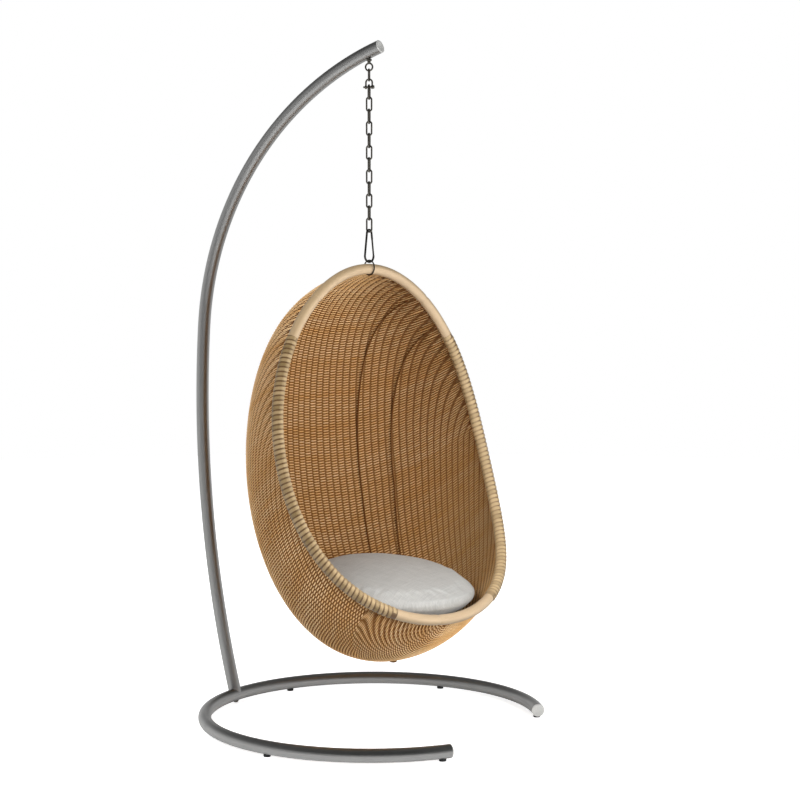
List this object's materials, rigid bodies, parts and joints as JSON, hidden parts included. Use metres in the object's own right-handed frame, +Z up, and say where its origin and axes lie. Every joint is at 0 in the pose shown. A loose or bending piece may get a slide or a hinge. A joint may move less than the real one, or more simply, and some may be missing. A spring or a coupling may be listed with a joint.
{
  "type": "hanging egg chair",
  "caption": "Woven egg-shaped hanging chair with a loose seat cushion, on a chain from a bowed steel stand with an open base ring.",
  "frame": {"origin": "on the floor, at the centre of the rectangle that bounds the whole object seen from above", "axes": "+Z up, +X from the mast towards the base ring's open front, +Y to the left of a sitter who looks along +X"},
  "size_m": [1.0518, 1.0172, 1.9806],
  "materials": {
    "brushed_tube": "brushed along the tube",
    "bright_cap": "bright, lightly polished",
    "chain_steel": "plated, satin",
    "dark_steel": "dark plated",
    "foot_rubber": "matte black",
    "bare_pole": "peeled cane pole, clear lacquer",
    "wound_peel": "flat cane peel, clear lacquer",
    "woven_cane": "woven cane core, satin",
    "grey_fabric": "plain woven, light grey"
  },
  "bodies": {
    "stand": {"base_ring": "brushed_tube", "mast": "brushed_tube", "mast_bolt": "dark_steel", "mast_washer": "dark_steel", "mast_foot_plug": "dark_steel", "eye_nut": "dark_steel", "eye_bolt": "chain_steel", "base_ring_cap_left": "bright_cap", "base_ring_cap_right": "bright_cap", "mast_tip_cap": "bright_cap", "foot_1": "foot_rubber", "foot_2": "foot_rubber", "foot_3": "foot_rubber", "foot_4": "foot_rubber", "foot_5": "foot_rubber", "foot_6": "foot_rubber"},
    "top_link_body": {"top_link": "chain_steel"},
    "shackle_body": {"shackle": "chain_steel", "shackle_pin": "chain_steel"},
    "link_01": {"chain_link_01": "chain_steel"},
    "link_02": {"chain_link_02": "chain_steel"},
    "link_03": {"chain_link_03": "chain_steel"},
    "link_04": {"chain_link_04": "chain_steel"},
    "link_05": {"chain_link_05": "chain_steel"},
    "link_06": {"chain_link_06": "chain_steel"},
    "link_07": {"chain_link_07": "chain_steel"},
    "link_08": {"chain_link_08": "chain_steel"},
    "link_09": {"chain_link_09": "chain_steel"},
    "link_10": {"chain_link_10": "chain_steel"},
    "link_11": {"chain_link_11": "chain_steel"},
    "link_12": {"chain_link_12": "chain_steel"},
    "carabiner_body": {"carabiner": "dark_steel", "gate_pin": "chain_steel"},
    "gate_body": {"carabiner_gate": "dark_steel"},
    "hanger": {"hanger_ring": "dark_steel"},
    "pod": {"woven_shell": "woven_cane", "rim_top_pole": "bare_pole", "rim_left_pole": "bare_pole", "rim_right_pole": "bare_pole", "left_rim_binding": "wound_peel", "right_rim_binding": "wound_peel", "base_knot": "woven_cane", "shell_rib_1": "woven_cane", "shell_rib_2": "woven_cane", "shell_rib_3": "woven_cane", "shell_rib_4": "woven_cane"},
    "cushion": {"seat_cushion": "grey_fabric"}
  },
  "joints": [
    {"name": "top_link_swing", "type": "hinge", "parent": "stand", "child": "top_link_body", "pos_m": [0.08555, 0, 1.89538], "axis": [0.9703, 0.2419, 0], "range_deg": [-12, 12]},
    {"name": "shackle_swing", "type": "hinge", "parent": "top_link_body", "child": "shackle_body", "pos_m": [0.08555, 0, 1.86618], "axis": [-0.2419, 0.9703, 0], "range_deg": [-8, 8]},
    {"name": "link_01_swing", "type": "hinge", "parent": "shackle_body", "child": "link_01", "pos_m": [0.08555, 0, 1.84848], "axis": [-0.9703, -0.2419, 0], "range_deg": [-12, 12]},
    {"name": "link_02_swing", "type": "hinge", "parent": "link_01", "child": "link_02", "pos_m": [0.08555, 0, 1.81428], "axis": [0.2419, -0.9703, 0], "range_deg": [-8, 8]},
    {"name": "link_03_swing", "type": "hinge", "parent": "link_02", "child": "link_03", "pos_m": [0.08555, 0, 1.77958], "axis": [0.9703, 0.2419, 0], "range_deg": [-12, 12]},
    {"name": "link_04_swing", "type": "hinge", "parent": "link_03", "child": "link_04", "pos_m": [0.08555, 0, 1.74488], "axis": [-0.2419, 0.9703, 0], "range_deg": [-8, 8]},
    {"name": "link_05_swing", "type": "hinge", "parent": "link_04", "child": "link_05", "pos_m": [0.08555, 0, 1.71018], "axis": [-0.9703, -0.2419, 0], "range_deg": [-12, 12]},
    {"name": "link_06_swing", "type": "hinge", "parent": "link_05", "child": "link_06", "pos_m": [0.08555, 0, 1.67548], "axis": [0.2419, -0.9703, 0], "range_deg": [-8, 8]},
    {"name": "link_07_swing", "type": "hinge", "parent": "link_06", "child": "link_07", "pos_m": [0.08555, 0, 1.64078], "axis": [0.9703, 0.2419, 0], "range_deg": [-12, 12]},
    {"name": "link_08_swing", "type": "hinge", "parent": "link_07", "child": "link_08", "pos_m": [0.08555, 0, 1.60608], "axis": [-0.2419, 0.9703, 0], "range_deg": [-8, 8]},
    {"name": "link_09_swing", "type": "hinge", "parent": "link_08", "child": "link_09", "pos_m": [0.08555, 0, 1.57138], "axis": [-0.9703, -0.2419, 0], "range_deg": [-12, 12]},
    {"name": "link_10_swing", "type": "hinge", "parent": "link_09", "child": "link_10", "pos_m": [0.08555, 0, 1.53668], "axis": [0.2419, -0.9703, 0], "range_deg": [-8, 8]},
    {"name": "link_11_swing", "type": "hinge", "parent": "link_10", "child": "link_11", "pos_m": [0.08555, 0, 1.50198], "axis": [0.9703, 0.2419, 0], "range_deg": [-12, 12]},
    {"name": "link_12_swing", "type": "hinge", "parent": "link_11", "child": "link_12", "pos_m": [0.08555, 0, 1.46728], "axis": [-0.2419, 0.9703, 0], "range_deg": [-8, 8]},
    {"name": "carabiner_swing", "type": "hinge", "parent": "link_12", "child": "carabiner_body", "pos_m": [0.08555, 0, 1.43258], "axis": [-0.9703, -0.2419, 0], "range_deg": [-8, 8]},
    {"name": "gate_hinge", "type": "hinge", "parent": "carabiner_body", "child": "gate_body", "pos_m": [0.08867, 0.01088, 1.41138], "axis": [-0.9613, 0.2756, 0], "range_deg": [0, 25], "stiffness_Nm_per_rad": 0.05, "springref_deg": -20.05},
    {"name": "pod_turn", "type": "hinge", "parent": "carabiner_body", "child": "hanger", "pos_m": [0.08555, 0, 1.34858], "axis": [0, 0, 1], "range_deg": [-15, 15]},
    {"name": "pod_rock", "type": "hinge", "parent": "hanger", "child": "pod", "pos_m": [0.08555, 0, 1.32558], "axis": [0.2756, 0.9613, 0], "range_deg": [-8, 8]},
    {"name": "cushion_lift", "type": "slide", "parent": "pod", "child": "cushion", "axis": [0, 0, 1], "range_m": [0, 0.15]}
  ]
}
